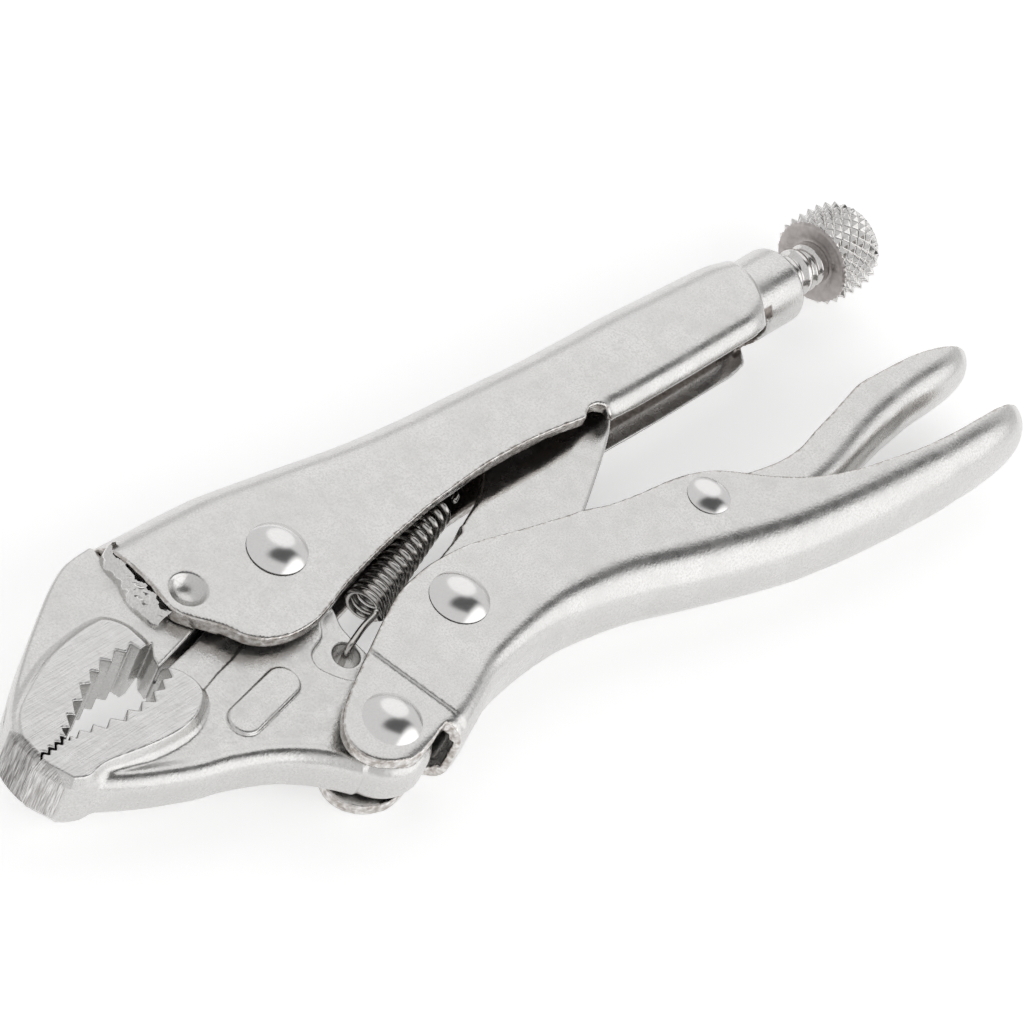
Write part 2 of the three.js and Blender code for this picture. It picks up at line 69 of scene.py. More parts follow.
def profile(rows, soften=2.0):
    """A smooth function of x through rows of (x, value), straight beyond the ends.

    Straight lines join the rows, and soften is the width of the bell curve that rounds their corners.
    """
    xs = np.array([r[0] for r in rows], float)
    ys = np.array([r[1] for r in rows], float)
    step = 0.25
    margin = 12
    table_x = np.arange(xs[0] - margin, xs[-1] + margin, step)
    table_y = np.interp(table_x, xs, ys)
    left = (ys[1] - ys[0]) / (xs[1] - xs[0])
    right = (ys[-1] - ys[-2]) / (xs[-1] - xs[-2])
    table_y = np.where(table_x < xs[0], ys[0] + left * (table_x - xs[0]), table_y)
    table_y = np.where(table_x > xs[-1], ys[-1] + right * (table_x - xs[-1]), table_y)
    reach = int(4 * soften / step)
    kernel = np.exp(-0.5 * (np.arange(-reach, reach + 1) * step / soften) ** 2)
    padded = np.pad(table_y, reach, mode="reflect", reflect_type="odd")
    smooth = np.convolve(padded, kernel / kernel.sum(), mode="valid")
    return lambda x: np.interp(x, table_x, smooth)


def flat_profile(rows, soften=1.0):
    """As profile, but constant beyond the ends."""
    first, last = rows[0], rows[-1]
    beyond = 20
    return profile([(first[0] - beyond, first[1]), *rows, (last[0] + beyond, last[1])], soften)


def spline(points, per=4, closed=False):
    """A Catmull-Rom curve through points in the plane or in space, with per steps from each to the next."""
    p = np.array(points, float)
    n = len(p)
    made = []
    for i in range(n if closed else n - 1):
        if closed:
            a, b, c, d = p[(i - 1) % n], p[i], p[(i + 1) % n], p[(i + 2) % n]
        else:
            a, b, c, d = p[max(i - 1, 0)], p[i], p[i + 1], p[min(i + 2, n - 1)]
        for k in range(per):
            t = k / per
            square = (2 * a - 5 * b + 4 * c - d) * t * t
            cube = (3 * b - a - 3 * c + d) * t**3
            made.append(0.5 * (2 * b + (c - a) * t + square + cube))
    if not closed:
        made.append(p[-1])
    return [tuple(q) for q in made]


def arc(centre, radius, start, end, count):
    """Points on a circle, from start to end in degrees."""
    angles = np.radians(np.linspace(start, end, count))
    return [(centre[0] + radius * math.cos(a), centre[1] + radius * math.sin(a)) for a in angles]


# ---------------------------------------------------------------- distance fields
# A field is a function of (x, y, z) that is negative inside the piece and about a distance near its surface.


def polygon(x, y, points):
    """Signed distance to a closed outline, negative inside."""
    p = np.array(points, float)
    q = np.roll(p, -1, axis=0)
    best = np.full(x.shape, np.inf)
    inside = np.zeros(x.shape, bool)
    for (ax, ay), (bx, by) in zip(p, q):
        ex, ey = bx - ax, by - ay
        length = ex * ex + ey * ey
        if length < 1e-12:  # a repeated point
            continue
        wx, wy = x - ax, y - ay
        t = np.clip((wx * ex + wy * ey) / length, 0, 1)
        dx, dy = wx - t * ex, wy - t * ey
        best = np.minimum(best, dx * dx + dy * dy)
        crosses = (ay > y) != (by > y)
        if ey:
            inside ^= crosses & (wx < wy * ex / ey)
    return np.where(inside, -1.0, 1.0) * np.sqrt(best)


def cut_round(a, b, r):
    """Intersection of two fields with a rounded edge of radius r."""
    u = np.maximum(a + r, 0)
    v = np.maximum(b + r, 0)
    return np.minimum(-r, np.maximum(a, b)) + np.sqrt(u * u + v * v)


def join_round(a, b, r):
    """Union of two fields with a fillet of radius r."""
    return -cut_round(-a, -b, r)


def disc(x, y, centre, radius):
    """Distance to a circle."""
    return np.hypot(x - centre[0], y - centre[1]) - radius


def pill(x, y, start, end, radius):
    """Distance to a bar with round ends."""
    ex, ey = end[0] - start[0], end[1] - start[1]
    t = np.clip(((x - start[0]) * ex + (y - start[1]) * ey) / (ex * ex + ey * ey), 0, 1)
    return np.hypot(x - start[0] - t * ex, y - start[1] - t * ey) - radius


def rounded_box(y, z, top, floor, half, r_top, r_low):
    """Distance to a section with flat sides at z = +-half, and its own corner radius above and below."""
    middle = (top + floor) / 2
    tall = (top - floor) / 2
    r = np.where(y > middle, r_top, r_low)
    a = np.abs(z) - (half - r)
    b = np.abs(y - middle) - (tall - r)
    outside = np.hypot(np.maximum(a, 0), np.maximum(b, 0))
    return outside + np.minimum(np.maximum(a, b), 0) - r


def smoothstep(t):
    """0 to 1 as t goes from 0 to 1, level at both ends."""
    t = np.clip(t, 0, 1)
    return t * t * (3 - 2 * t)


def wobble(x, y, z, size, seed):
    """Smooth pseudo-random field, mostly in -1..1, for lumps of about that size."""
    rng = np.random.default_rng(seed)
    total = np.zeros(x.shape)
    for k in range(6):
        d = rng.normal(size=3)
        d /= np.linalg.norm(d)
        wave = size * (0.7 + 0.25 * k)
        turn = 2 * math.pi / wave
        total += np.sin(turn * (x * d[0] + y * d[1] + z * d[2]) + rng.uniform(0, 6.28))
    usual_peak = 3.5
    return total / usual_peak


# ---------------------------------------------------------------- surface from a field


def sampled(field, lower, upper, step):
    """The field on a grid, exact near its surface and coarse away from it."""
    block = 4
    counts = [int(math.ceil((upper[k] - lower[k]) / step / block)) for k in range(3)]
    half = step * (block - 1) / 2
    centres = [lower[k] + np.arange(counts[k]) * block * step + half for k in range(3)]
    cx, cy, cz = np.meshgrid(*centres, indexing="ij")
    coarse = field(cx.ravel(), cy.ravel(), cz.ravel()).reshape(cx.shape)
    band = 1.25 * block * step
    near = np.abs(coarse) < band
    fine = np.repeat(np.repeat(np.repeat(coarse, block, 0), block, 1), block, 2)
    steps = np.arange(block) * step - half
    ox, oy, oz = (o.ravel() for o in np.meshgrid(steps, steps, steps, indexing="ij"))
    bx = cx[near][:, None] + ox
    by = cy[near][:, None] + oy
    bz = cz[near][:, None] + oz
    values = field(bx.ravel(), by.ravel(), bz.ravel())
    i, j, k = np.nonzero(near)
    view = fine.reshape(counts[0], block, counts[1], block, counts[2], block)
    view[i, :, j, :, k, :] = values.reshape(-1, block, block, block)
    return fine


def surface_net(values, lower, step):
    """Vertices and quads of the zero surface of a grid of values."""
    inside = values < 0
    ni, nj, nk = (n - 1 for n in values.shape)
    corner_sum = np.zeros((ni, nj, nk), np.int8)
    for di in (0, 1):
        for dj in (0, 1):
            for dk in (0, 1):
                corner_sum += inside[di : ni + di, dj : nj + dj, dk : nk + dk]
    cells = (corner_sum > 0) & (corner_sum < 8)
    ci, cj, ck = np.nonzero(cells)
    index = np.full(cells.shape, -1, np.int64)
    index[ci, cj, ck] = np.arange(len(ci))
    total = np.zeros((len(ci), 3))
    count = np.zeros(len(ci))
    for axis in range(3):
        others = [a for a in range(3) if a != axis]
        for u in (0, 1):
            for v in (0, 1):
                start = [0, 0, 0]
                start[others[0]], start[others[1]] = u, v
                end = list(start)
                end[axis] = 1
                a = values[ci + start[0], cj + start[1], ck + start[2]]
                b = values[ci + end[0], cj + end[1], ck + end[2]]
                hit = (a < 0) != (b < 0)
                t = np.where(hit, a / np.where(hit, a - b, 1), 0)
                crossing = np.tile(np.array(start, float), (len(ci), 1))
                crossing[:, axis] += t
                total += crossing * hit[:, None]
                count += hit
    local = total / count[:, None]
    points = np.array(lower) + step * (np.stack([ci, cj, ck], 1) + local)
    quads = []
    for axis in range(3):
        b, c = (axis + 1) % 3, (axis + 2) % 3
        here = np.moveaxis(inside, axis, 0)
        change = np.moveaxis(here[:-1] != here[1:], 0, axis)
        i, j, k = np.nonzero(change)
        at = np.stack([i, j, k], 1)
        off_start = (at[:, b] > 0) & (at[:, c] > 0)
        off_end = (at[:, b] < cells.shape[b]) & (at[:, c] < cells.shape[c])
        at = at[off_start & off_end]
        ring = []
        for db, dc in ((-1, -1), (0, -1), (0, 0), (-1, 0)):
            q = at.copy()
            q[:, b] += db
            q[:, c] += dc
            ring.append(index[q[:, 0], q[:, 1], q[:, 2]])
        ring = np.stack(ring, 1)
        flip = ~inside[at[:, 0], at[:, 1], at[:, 2]]
        ring[flip] = ring[flip][:, ::-1]
        quads.append(ring)
    return points, np.concatenate(quads)


def settle(field, points, reach, rounds=2):
    """Moves the points onto the exact surface, each by no more than reach in a round."""
    e = 0.02  # half the span of the slope's two samples
    least_slope = 0.5
    for _ in range(rounds):
        x, y, z = points.T
        value = field(x, y, z)
        grad = np.stack(
            [
                field(x + e, y, z) - field(x - e, y, z),
                field(x, y + e, z) - field(x, y - e, z),
                field(x, y, z + e) - field(x, y, z - e),
            ],
            1,
        ) / (2 * e)
        size = np.maximum((grad**2).sum(1), least_slope**2)
        move = grad * (value / size)[:, None]
        far = np.linalg.norm(move, axis=1)
        move *= np.minimum(1, reach / np.maximum(far, 1e-9))[:, None]
        points = points - move
    return points


def in_scene(data):
    """An object of the mesh's name, in the scene."""
    made = bpy.data.objects.new(data.name, data)
    bpy.context.scene.collection.objects.link(made)
    return made


def smooth_piece(data):
    data.polygons.foreach_set("use_smooth", np.full(len(data.polygons), True))
    return in_scene(data)


def quad_piece(name, points, quads):
    """A mesh of many quads, from tool millimetres."""
    data = bpy.data.meshes.new(name)
    data.vertices.add(len(points))
    data.vertices.foreach_set("co", to_frame(points).astype(np.float32).ravel())
    data.loops.add(quads.size)
    data.loops.foreach_set("vertex_index", quads.astype(np.int32).ravel())
    data.polygons.add(len(quads))
    data.polygons.foreach_set("loop_start", np.arange(0, quads.size, 4, dtype=np.int32))
    data.update(calc_edges=True)
    data.validate()
    return smooth_piece(data)


def mark(piece, **masks):
    """Keeps each mask, a function of (x, y, z), as a point attribute for the material."""
    count = len(piece.data.vertices)
    flat = np.empty(3 * count, np.float32)
    piece.data.vertices.foreach_get("co", flat)
    points = flat.reshape(count, 3).astype(float) / MM - np.array(ORIGIN)
    for label, mask in masks.items():
        attribute = piece.data.attributes.new(label, "FLOAT", "POINT")
        attribute.data.foreach_set("value", np.clip(mask(*points.T), 0, 1).astype(np.float32))
    return piece


def skin(name, field, lower, upper, step, **masks):
    """The surface of a field, with masks for its material."""
    values = sampled(field, lower, upper, step)
    points, quads = surface_net(values, lower, step)
    points = settle(field, points, 0.6 * step)
    return mark(quad_piece(name, points, quads), **masks)


# ---------------------------------------------------------------- dimensions

JAW_PIVOT = (0.0, 0.0)
LEVER_PIVOT = (-5.45, -30.2)
LINK_PIVOT = (17.5, -20.4)
LINK_FOOT = (66.0, -1.0)  # where the link pushes on the screw's tip
RELEASE_PIVOT = (64.6, -27.4)
SCREW_Y = -1.03  # the screw's axis, on the middle plane
KNOB_FACE = 121.3  # the knob's inner face
DETAIL = 0.36  # grid step of the sheet pieces
FINE_DETAIL = 0.22  # grid step of the jaws and welds

# ---------------------------------------------------------------- fixed handle

HANDLE_HALF = flat_profile(
    [(-22, 6.9), (54, 6.9), (66, 7.2), (100, 7.25), (105, 7.1), (109, 6.85), (112, 6.7)]
)
HANDLE_TOP = profile(
    [(-22, 15.9), (-10, 15.6), (-2, 15.2), (5, 14.1), (12, 13.0), (19, 11.8), (26, 10.8), (36, 9.9),
     (44, 9.5), (52, 9.0), (60, 8.4), (69, 8.1), (78, 8.0), (87, 7.5), (96, 7.1), (100.6, 6.8), (104, 5.9),
     (107, 5.3), (113, 5.25)],
    1.3,
)
HANDLE_FLOOR = profile(
    [(56, -20), (60, -13), (62.8, -8.6), (66, -9.1), (80, -9.35), (97, -9.3), (102, -8.6), (107, -7.5),
     (113, -7.31)],
    0.9,
)
HANDLE_TOP_ROUND = flat_profile([(-22, 6.3), (54, 6.4), (98, 6.6), (108, 6.28)])
HANDLE_LOW_ROUND = flat_profile([(60, 3.5), (66, 4.0), (97, 4.2), (108, 6.28)])
HANDLE_SHEET = 2.5
CAVITY_END = 100.5
BARREL_RADIUS = 6.28
BARREL_END = 112.3
BARREL_HALF = 7  # half the barrel's length
BORE_RADIUS = 4.15
BORE_START = 96
SLOT_START = 99.0  # the open slot in the handle's floor ends in a half circle round this x
SLOT_HALF = 4.75
SLOT_LEVEL = -5.6  # the slot lies below this y
DIMPLE = (-15.9, 1.5, 8.7)  # centre of the ball that presses the dimple
DIMPLE_RADIUS = 3.35
# x where the folded channel ends and the barrel starts, as a function of y
CREASE = flat_profile(
    [(-9.4, 101.0), (-7.6, 100.6), (-5.6, 101.5), (-2.1, 103.3), (1.4, 104.0), (5.0, 105.5)], 0.5
)
# the handle seen from the side: the metal is kept inside this outline
HANDLE_SIDE = (
    [(-21.1, 20), (-20.7, 12.4)]
    + spline(
        [(-20.7, 12.4), (-20.3, 9.9), (-20.0, 6.4), (-20.0, 3.8), (-20.2, 1.4), (-19.8, -0.6), (-18.8, -2.2),
         (-17.3, -3.9), (-15.6, -6.1), (-14.4, -8.3), (-13.1, -9.8), (-11.2, -11.1), (-8.6, -12.0),
         (-5.9, -12.3), (-3, -12.1), (-0.1, -11.4), (4.6, -9.9), (9.7, -8.7), (15.7, -7.5), (21, -6.7),
         (26.1, -6.0), (33.2, -5.4), (38.3, -5.1), (45.3, -5.2), (52.1, -5.8), (58.4, -6.8)],
        3,
    )[1:]
    + [(59.0, -6.3), (60.4, -5.6), (61.8, -5.8), (62.8, -6.6), (62.9, -8.0), (64, -10), (64, -14)]
    + [(116, -14), (116, 20)]
)


def handle_inner(x, y, z):
    """The channel's cavity."""
    t = HANDLE_SHEET
    top, floor = HANDLE_TOP(x) - t, HANDLE_FLOOR(x) + t
    r_top = HANDLE_TOP_ROUND(x) - t
    r_low = np.maximum(HANDLE_LOW_ROUND(x) - t, 0.6)
    inner = rounded_box(y, z, top, floor, HANDLE_HALF(x) - t, r_top, r_low)
    return np.maximum(inner, x - CAVITY_END)


def handle_field(x, y, z):
    """A folded sheet channel that closes into a tube and a threaded barrel."""
    top, floor = HANDLE_TOP(x), HANDLE_FLOOR(x)
    outer = rounded_box(y, z, top, floor, HANDLE_HALF(x), HANDLE_TOP_ROUND(x), HANDLE_LOW_ROUND(x))
    outer = cut_round(outer, x - CREASE(y), 1.3)
    shaft = np.hypot(y - SCREW_Y, z)
    length = np.abs(x - BARREL_END + BARREL_HALF) - BARREL_HALF
    barrel = cut_round(shaft - BARREL_RADIUS, length, 0.5)
    outer = join_round(outer, barrel, 0.4)
    body = cut_round(outer, -handle_inner(x, y, z), 0.3)
    body = cut_round(body, polygon(x, y, HANDLE_SIDE), 0.3)
    slot = np.hypot(np.maximum(x - SLOT_START, 0), z) - SLOT_HALF
    slot = np.maximum(slot, y - SLOT_LEVEL)
    body = cut_round(body, -slot, 0.35)
    bore = np.maximum(shaft - BORE_RADIUS, BORE_START - x)
    body = cut_round(body, -bore, 0.25)
    dx, dy, dz = (v - centre for v, centre in zip((x, y, z), DIMPLE))
    dimple = np.sqrt(dx**2 + dy**2 + dz**2) - DIMPLE_RADIUS
    return cut_round(body, -dimple, 0.12)


# ---------------------------------------------------------------- jaws

UPPER_TEETH = [
    (-51.0, -8.0), (-50.2, -7.3), (-49.6, -8.0), (-48.9, -7.2), (-48.3, -7.9), (-47.6, -7.0), (-47.0, -7.7),
    (-46.4, -6.7), (-45.8, -7.5), (-45.4, -5.9), (-44.3, -6.5), (-43.4, -4.6), (-42.4, -5.4), (-41.2, -3.4),
    (-39.9, -4.1), (-38.6, -1.9), (-37.1, -2.6), (-35.9, -0.9), (-34.9, -1.8), (-33.4, -0.2), (-32.2, -1.4),
    (-30.6, -0.1), (-29.5, -1.3), (-28.0, -0.4), (-27.5, -1.9), (-26.2, -1.8),
]
UPPER_BODY = (
    UPPER_TEETH
    + [(-25.3, -1.4), (-26.5, -3.3), (-26.9, -5.2), (-18.4, -3.2), (-14, -1.9), (-10.4, -0.9)]
    + arc(JAW_PIVOT, 9.4, 183, 130, 8)
    + [(-6.4, 10), (-7.5, 11.5), (-20.6, 11.5), (-20.9, 15.2)]
    + spline(
        [(-21.3, 15.6), (-25.9, 15.2), (-29.1, 14.0), (-32.4, 12.2), (-36.2, 9.8), (-39.6, 7.6), (-43.5, 4.8),
         (-46.8, 2.2), (-49.2, -0.3), (-50.8, -3.0), (-51.4, -5.6), (-51.5, -7.3)],
        3,
    )
)
UPPER_HEAD = UPPER_TEETH + spline(
    [(-26.2, -1.8), (-26.4, 0.6), (-26.8, 2.4), (-28.2, 4.3), (-29.8, 4.75), (-32.9, 4.7), (-37.1, 4.1),
     (-40.7, 3.1), (-45.2, 1.1), (-48.7, -1.0), (-50.8, -3.9), (-51.2, -6.1), (-51.1, -7.9)],
    3,
)[1:]
LOWER_TEETH = [
    (-51.0, -8.35), (-50.3, -7.7), (-49.6, -8.4), (-49.0, -7.7), (-48.3, -8.3), (-47.7, -7.5), (-47.0, -8.1),
    (-46.3, -7.3), (-45.7, -8.1), (-45.2, -7.35), (-44.7, -8.3), (-43.5, -7.4), (-42.4, -8.6), (-41.3, -7.7),
    (-40.1, -9.3), (-38.6, -8.2), (-37.0, -9.8), (-35.6, -8.4), (-34.2, -9.7), (-33.0, -8.5), (-31.4, -9.6),
    (-30.5, -8.1), (-28.9, -8.7), (-28.2, -7.3), (-26.7, -7.8), (-26.2, -6.3),
]
LOWER_BODY = (
    LOWER_TEETH
    + [(-25.9, -5.6), (-18.8, -4.3), (-14, -2.9), (-9.3, -2.1)]
    + arc(JAW_PIVOT, 8.4, 184, -30, 20)
    + spline([(3.2, -9.4), (2.2, -13.0), (2.1, -16.5), (2.3, -19.5), (2.6, -23.0), (2.0, -27.0)], 3)
    + arc(LEVER_PIVOT, 7.2, 0, -152, 18)
    + spline(
        [(-12.6, -33.4), (-15.0, -30.7), (-18.5, -27.7), (-22.5, -25.3), (-28, -23.1), (-33, -21.7),
         (-40, -18.8), (-46.6, -15.3), (-49.6, -13.3)],
        3,
    )
    + [(-51.2, -8.8)]
)
LOWER_HEAD = LOWER_TEETH + spline(
    [(-26.2, -6.3), (-25.2, -7.3), (-24.5, -8.9), (-24.3, -10.6), (-25.0, -12.3), (-27.2, -13.9),
     (-29.6, -14.7), (-32.6, -14.9), (-36.9, -14.5), (-43.2, -13.4), (-45.5, -13.5), (-47.2, -13.8),
     (-49.3, -12.9)],
    3,
)[1:] + [(-51.1, -8.8)]
NECK = [
    (-27.5, -5), (-24.2, -8.2), (-23.6, -11.2), (-19.5, -10.0), (-15.6, -9.2), (-12.4, -8.0), (-12, 4),
    (-20, 4),
]
LUG = spline(
    [(0.8, -10.6), (-2.1, -13.3), (-5.3, -14.6), (-6.2, -16.5), (-5.6, -18.4), (-3.3, -21.3), (2, -24),
     (8, -22), (8, -12)],
    4,
    closed=True,
)
UPPER_MOUTH = UPPER_TEETH + [(-24.5, -1.5), (-25.9, -3.3), (-26.4, -5.2), (-26.4, -30), (-51.0, -30)]
LOWER_MOUTH = LOWER_TEETH + [(-26.0, -5.5), (-26.0, 20), (-51.0, 20)]
SPRING_HOLE = (-1.1, -17.5)
RIVET_BORE = 2.9
HEAD_HALF = 5.4
HEAD_EXTRA = 1.05
UPPER_BODY_HALF = 4.15
LOWER_BODY_HALF = 3.5
LOWER_RIM = 0.45  # how far the lower jaw's rim stands above its flat side
LOWER_RECESS_HALF = 3.15  # half the thickness at the neck and at the spring's lug


def drafted(outline_distance, z, high, low, slope):
    """A raised pad whose wall leans outwards from z = high down to z = low."""
    lean = np.clip(high - np.abs(z), 0, high - low) * slope
    return cut_round(outline_distance - lean, np.abs(z) - high, 0.15)


def head_half(x, z):
    """Half the thickness of the jaws' heads: the far side stands further out behind the tip."""
    return HEAD_HALF + np.where(z < 0, HEAD_EXTRA, 0) * smoothstep((x + 50.5) / 6)


def upper_jaw_field(x, y, z):
    """The forging that is fixed in the handle's mouth."""
    body = cut_round(polygon(x, y, UPPER_BODY), np.abs(z) - UPPER_BODY_HALF, 0.55)
    head = drafted(polygon(x, y, UPPER_HEAD), z, head_half(x, z), 4.0, 0.7)
    made = join_round(body, head, 0.8)
    mouth = -polygon(x, y, UPPER_MOUTH)
    front = -(x * 0.99 + 51.3 - (y + 5) * -0.05)
    return cut_round(cut_round(made, mouth, 0.08), front, 0.1)


def lower_jaw_field(x, y, z):
    """The moving forging: a rim along its lower edge, a thin neck and lug, and a plain raised pad."""
    outline = polygon(x, y, LOWER_BODY)
    rim = smoothstep((-11.0 - y) / 3.0)
    half = LOWER_BODY_HALF + LOWER_RIM * rim * (1 - smoothstep((-outline - 1.8) / 2.0))
    body = cut_round(outline, np.abs(z) - half, 0.7 + 1.6 * rim)
    for region in (NECK, LUG):
        recess = np.maximum(polygon(x, y, region), LOWER_RECESS_HALF - np.abs(z))
        body = cut_round(body, -recess, 0.25)
    pad = cut_round(pill(x, y, (-21.4, -17.9), (-12.6, -16.2), 2.5), np.abs(z) - 3.95, 0.3)
    body = join_round(body, pad, 0.25)
    head = drafted(polygon(x, y, LOWER_HEAD), z, head_half(x, z), 3.7, 0.55)
    made = join_round(body, head, 0.8)
    made = cut_round(made, -polygon(x, y, LOWER_MOUTH), 0.08)
    made = cut_round(made, -disc(x, y, SPRING_HOLE, 2.0), 0.25)
    made = cut_round(made, -disc(x, y, JAW_PIVOT, RIVET_BORE), 0.1)
    return cut_round(made, -disc(x, y, LEVER_PIVOT, RIVET_BORE), 0.1)


# ---------------------------------------------------------------- weld beads


def weld_field(x, y, z):
    """A lumpy bead on each side along the handle's front edge, with a thick foot."""
    path = pill(x, y, (-19.7, 11.4), (-19.9, 4.6), 2.4)
    foot = pill(x, y, (-20.4, 4.8), (-20.2, 2.2), 3.1)
    toe = pill(x, y, (-19.6, 1.6), (-16.6, -0.4), 2.1)
    lumps = 0.26 * wobble(x, y, z, 2.6, 5) + 0.15 * wobble(x, y, z, 1.2, 8)
    plan = join_round(join_round(path, foot, 1.8), toe, 1.2) + 0.9 * lumps
    height = 6.3 - 0.55 * np.clip(-20.6 - x, -1, 4) + 1.2 * lumps
    made = cut_round(plan, np.abs(z) - height, 1.4)
    inner_limit = 3.6
    return np.maximum(made, inner_limit - np.abs(z))


# ---------------------------------------------------------------- lever

LEVER_TOP = [
    (-0.8, -20.1), (4.9, -17.3), (8.0, -15.9), (11.2, -14.7), (15.8, -13.9), (19.4, -13.7), (25.8, -14.2),
    (34.2, -16.3), (41.2, -18.0), (45.8, -19.0), (49.8, -20.3), (55.5, -21.3), (60.5, -21.9), (65.1, -22.9),
    (69.1, -24.6), (72.4, -27.0), (76.1, -30.0), (80.3, -32.7), (84.9, -35.0), (90.2, -36.7), (96.1, -38.0),
    (102.1, -39.2), (108.9, -39.9), (116.1, -40.2), (121, -40.3), (125, -40.6), (129, -41.4),
]
LEVER_BOTTOM = profile(
    [(-2, -38.3), (2.0, -37.8), (4.6, -37.2), (8.8, -35.5), (14.2, -33.0), (19.3, -32.1), (26.1, -31.6),
     (32.4, -31.8), (39.7, -33.2), (45.1, -34.5), (53.4, -37.3), (60.2, -39.4), (67.3, -41.4), (74.7, -43.2),
     (84.9, -44.7), (95.8, -45.8), (107.2, -46.6), (114.6, -46.9), (130, -47.0)],
    1.6,
)
LEVER_HALF = flat_profile([(20, 7.0), (58, 7.1), (75, 7.5), (95, 7.8), (120, 7.8)], 2.0)
LEVER_ROUND = flat_profile([(4, 3.9), (12, 3.6), (20, 3.7), (30, 4.8), (45, 6.6), (60, 6.9), (125, 6.9)], 3.0)
LEVER_SHEET = 2.0
LEVER_TIP = {"centre": (110.0, -40.3), "size": (18.0, 7.2, 8.4)}
JOGGLE_DEPTH = 0.25  # how far the lever's front end is pressed in
LEVER_SIDE = (
    spline(LEVER_TOP, 3)
    + [(134, -41.6), (134, -60), (2.6, -60), (2.6, -38.4), (1.6, -35.6), (0.9, -34.9)]
    + spline(
        [(-0.6, -35.2), (-3.5, -36.2), (-6.9, -36.7), (-9.2, -36.0), (-11.3, -34.8), (-12.9, -32.9),
         (-13.5, -30.6), (-12.9, -28.1), (-10.7, -25.6), (-7.8, -23.7), (-3.8, -21.6), (-0.8, -20.1)],
        4,
    )[:-1]
)


def blunt_end(x, y, z, centre, size, power=2.4):
    """The rounded end of a spoon below its rim: less than 0 inside, and no limit well before the centre."""
    along = np.maximum(x - centre[0], 0) / size[0]
    across = np.hypot(np.minimum(y - centre[1], 0) / size[1], z / size[2])
    release = 0.02 * np.maximum(centre[0] - x, 0) ** 2
    return ((along**power + across**power) ** (1 / power) - 1) * size[1] - release


def channel(x, y, z, half, floor, corner, sheet, tip, tip_rounds):
    """A sheet channel with rounded lower corners and a blunt end, open above.

    Both sections' tops are out of the way, since the side outline cuts the metal lower down.
    """
    outer_top, inner_top = 30.0, 40.0
    outer = rounded_box(y, z, outer_top, floor, half, 1.0, corner)
    inner_corner = np.maximum(corner - sheet, 0.4)
    inner = rounded_box(y, z, inner_top, floor + sheet, half - sheet, 0.4, inner_corner)
    end = blunt_end(x, y, z, **tip)
    hollow = cut_round(inner, end + sheet, tip_rounds[0])
    return cut_round(cut_round(outer, end, tip_rounds[1]), -hollow, 0.3)


def lever_field(x, y, z):
    """The hand lever, with the pressed step across its front end and a cut in its web for the jaw."""
    joggle = x + 0.2 + 0.235 * (y + 20.1)
    half = LEVER_HALF(x) - JOGGLE_DEPTH * (1 - smoothstep(joggle / 0.2 + 0.5))
    corner = np.minimum(LEVER_ROUND(x), half - 0.05)
    body = channel(x, y, z, half, LEVER_BOTTOM(x), corner, LEVER_SHEET, LEVER_TIP, (1.0, 1.6))
    body = cut_round(body, polygon(x, y, LEVER_SIDE), 0.35)
    web_cut = np.maximum(np.maximum(x - 2.9, np.abs(z) - 3.1), -36.5 - y)
    return cut_round(body, -web_cut, 0.3)


# ---------------------------------------------------------------- link, release lever

LINK_OUTLINE = (
    arc(LINK_PIVOT, 6.2, 100, 300, 18)
    + spline(
        [(26, -24.0), (36, -22.6), (44, -20.4), (49.3, -17.6), (60.3, -11.2), (65.5, -7.4), (67.6, -4.2)], 4
    )
    + arc(LINK_FOOT, 2.3, -30, 150, 10)
    + spline([(60, 1.2), (52, 0.2), (44, -2.2), (38.4, -6.2), (31.0, -9.4)], 4)
    + [(30.3, -9.5), (29.8, -10.3), (22.6, -12.3)]
)


def link_field(x, y, z):
    """The toggle link: a flat plate, forged thinner along its upper edge."""
    thinner = 1.15 * smoothstep((y + 9.2 - 0.13 * np.maximum(x - 50, 0)) / 4.2)
    made = cut_round(polygon(x, y, LINK_OUTLINE), np.abs(z) - 2.6 + thinner, 0.4)
    return cut_round(made, -disc(x, y, LINK_PIVOT, RIVET_BORE), 0.1)


RELEASE_TOP = [
    (57, -23.6), (62, -23.2), (67, -24.2), (72, -25.7), (74.3, -26.3), (77, -27.0), (82, -27.9),
    (86.8, -27.9), (91.5, -26.9), (96, -26.1), (100.8, -25.1), (104.9, -24.4), (109.8, -24.6), (116.5, -25.0),
    (121, -25.8), (125, -26.8), (129, -28.0), (134, -29.4),
]
RELEASE_BOTTOM = profile(
    [(55, -25.6), (58, -28.6), (62, -31.4), (66, -33.0), (74, -35.6), (82, -36.6), (90, -35.9), (97, -34.4),
     (104, -33.2), (111, -32.7), (117, -32.6), (134, -32.6)],
    1.4,
)
RELEASE_HALF = profile([(55, 4.4), (72, 4.6), (82, 4.9), (95, 5.2), (108, 5.7), (134, 5.9)], 0.8)
RELEASE_TIP = {"centre": (114.5, -27.0), "size": (15.2, 5.95, 6.4)}
RELEASE_ROUND = flat_profile([(57, 2.4), (70, 4.0), (85, 4.6), (100, 5.2), (132, 5.5)], 3.0)
RELEASE_SHEET = 1.6
RELEASE_SIDE = spline(RELEASE_TOP, 3) + [(134, -60), (56.9, -60)]


def release_field(x, y, z):
    """The small release lever, nested in the hand lever."""
    half = RELEASE_HALF(x)
    corner = np.minimum(RELEASE_ROUND(x), half - 0.05)
    body = channel(x, y, z, half, RELEASE_BOTTOM(x), corner, RELEASE_SHEET, RELEASE_TIP, (0.8, 1.4))
    body = cut_round(body, polygon(x, y, RELEASE_SIDE), 0.4)
    return cut_round(body, -disc(x, y, RELEASE_PIVOT, 2.3), 0.1)


# ---------------------------------------------------------------- turned pieces


